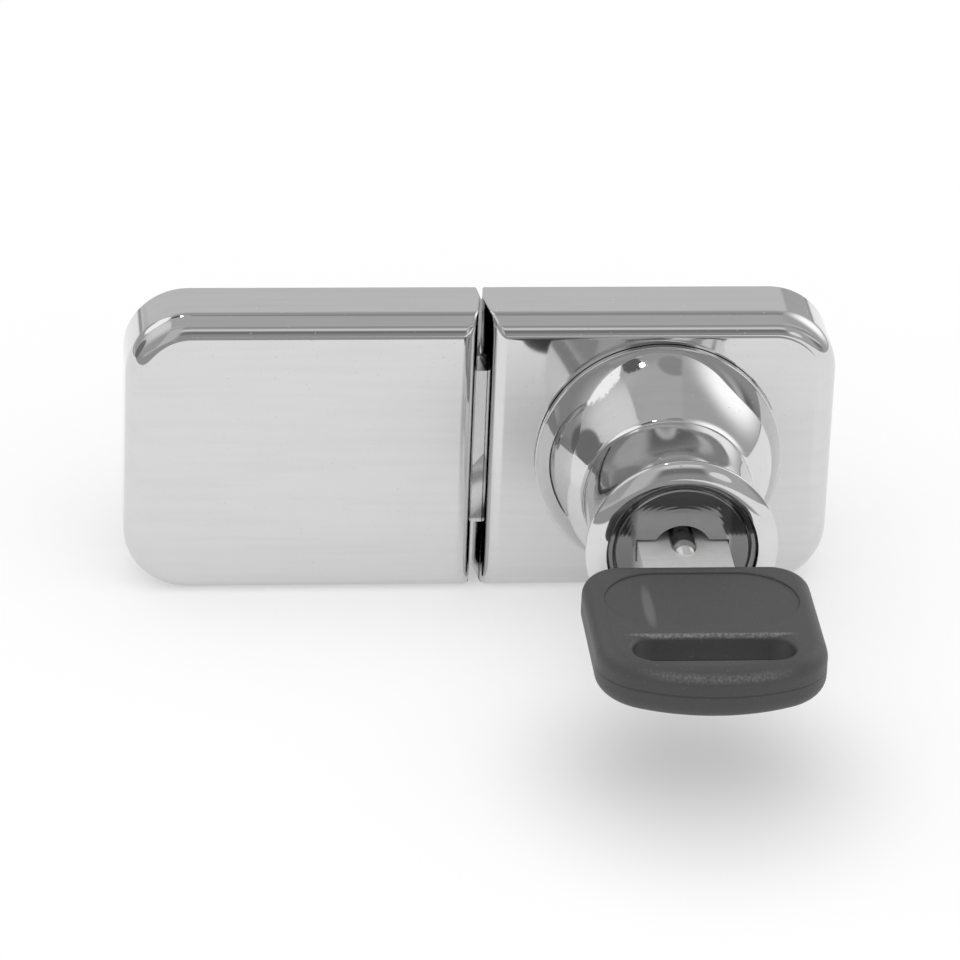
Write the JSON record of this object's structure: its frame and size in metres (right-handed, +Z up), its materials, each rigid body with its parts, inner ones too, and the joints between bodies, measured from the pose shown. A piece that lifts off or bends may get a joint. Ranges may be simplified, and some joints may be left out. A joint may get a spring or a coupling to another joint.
{
  "type": "glass cabinet door lock",
  "caption": "Clamp-on lock for a pair of glass cabinet doors: chrome lock half with a flared barrel, strike half, sliding bolt and a key with a plastic bow.",
  "frame": {"origin": "where the barrel's axis meets the front face of the glass, on the lock half's front pad", "axes": "+X along the pair from the strike half to the lock half, +Y through the glass to the rear, +Z up; the key points to -Y"},
  "size_m": [0.066, 0.0675, 0.028],
  "materials": {
    "chrome_plate": "bright chrome plate on a zinc casting",
    "shell_brass": "turned brass",
    "wafer_brass": "stamped brass",
    "spring_steel": "drawn wire",
    "screw_steel": "zinc-plated steel",
    "bolt_steel": "plated steel",
    "bracket_steel": "satin nickel-plated steel",
    "key_nickel": "nickel-plated, fine brushed grain",
    "pad_rubber": "soft black rubber",
    "pad_nylon": "black nylon",
    "bow_plastic": "satin charcoal plastic"
  },
  "bodies": {
    "base": {"lock_case": "chrome_plate", "escutcheon": "chrome_plate", "escutcheon_screws": "screw_steel", "cylinder_shell": "shell_brass", "lock_bracket": "bracket_steel", "lock_bracket_screws": "screw_steel", "lock_front_pad": "pad_rubber", "strike_case": "chrome_plate", "strike_bracket": "bracket_steel", "strike_bracket_screws": "screw_steel", "strike_front_pad": "pad_rubber"},
    "plug": {"plug": "chrome_plate", "drive_cam": "shell_brass", "cam_screw": "screw_steel", "wafer_springs_right": "spring_steel", "wafer_springs_left": "spring_steel"},
    "wafers_right": {"wafers_right": "wafer_brass"},
    "wafers_left": {"wafers_left": "wafer_brass"},
    "key": {"key_blade": "key_nickel", "key_bow": "bow_plastic"},
    "bolt": {"bolt": "bolt_steel"},
    "lock_clamp": {"lock_pressure_pad": "pad_nylon", "lock_grub_screws": "screw_steel"},
    "strike_clamp": {"strike_pressure_pad": "pad_nylon", "strike_grub_screws": "screw_steel"}
  },
  "joints": [
    {"name": "plug_turn", "type": "hinge", "parent": "base", "child": "plug", "pos_m": [0, -0.0274, 0], "axis": [0, 1, 0], "range_deg": [0, 90]},
    {"name": "key_pull", "type": "slide", "parent": "plug", "child": "key", "axis": [0, -1, 0], "range_m": [0, 0.015]},
    {"name": "bolt_slide", "type": "slide", "parent": "base", "child": "bolt", "axis": [1, 0, 0], "range_m": [0, 0.006]},
    {"name": "wafer_slide_right", "type": "slide", "parent": "plug", "child": "wafers_right", "axis": [1, 0, 0], "range_m": [0, 0.0005], "deforming": ["wafer_springs_right"]},
    {"name": "wafer_slide_left", "type": "slide", "parent": "plug", "child": "wafers_left", "axis": [-1, 0, 0], "range_m": [0, 0.0005], "deforming": ["wafer_springs_left"]},
    {"name": "lock_clamp_slide", "type": "slide", "parent": "base", "child": "lock_clamp", "axis": [0, 1, 0], "range_m": [-0.002, 0.0007]},
    {"name": "strike_clamp_slide", "type": "slide", "parent": "base", "child": "strike_clamp", "axis": [0, 1, 0], "range_m": [-0.002, 0.0007]}
  ],
  "couplings": [
    {"joint": "bolt_slide", "follows": "plug_turn", "m_per_rad": 0.0038197},
    {"joint": "wafer_slide_right", "follows": "key_pull", "ratio": 0.0333},
    {"joint": "wafer_slide_left", "follows": "key_pull", "ratio": 0.0333}
  ]
}
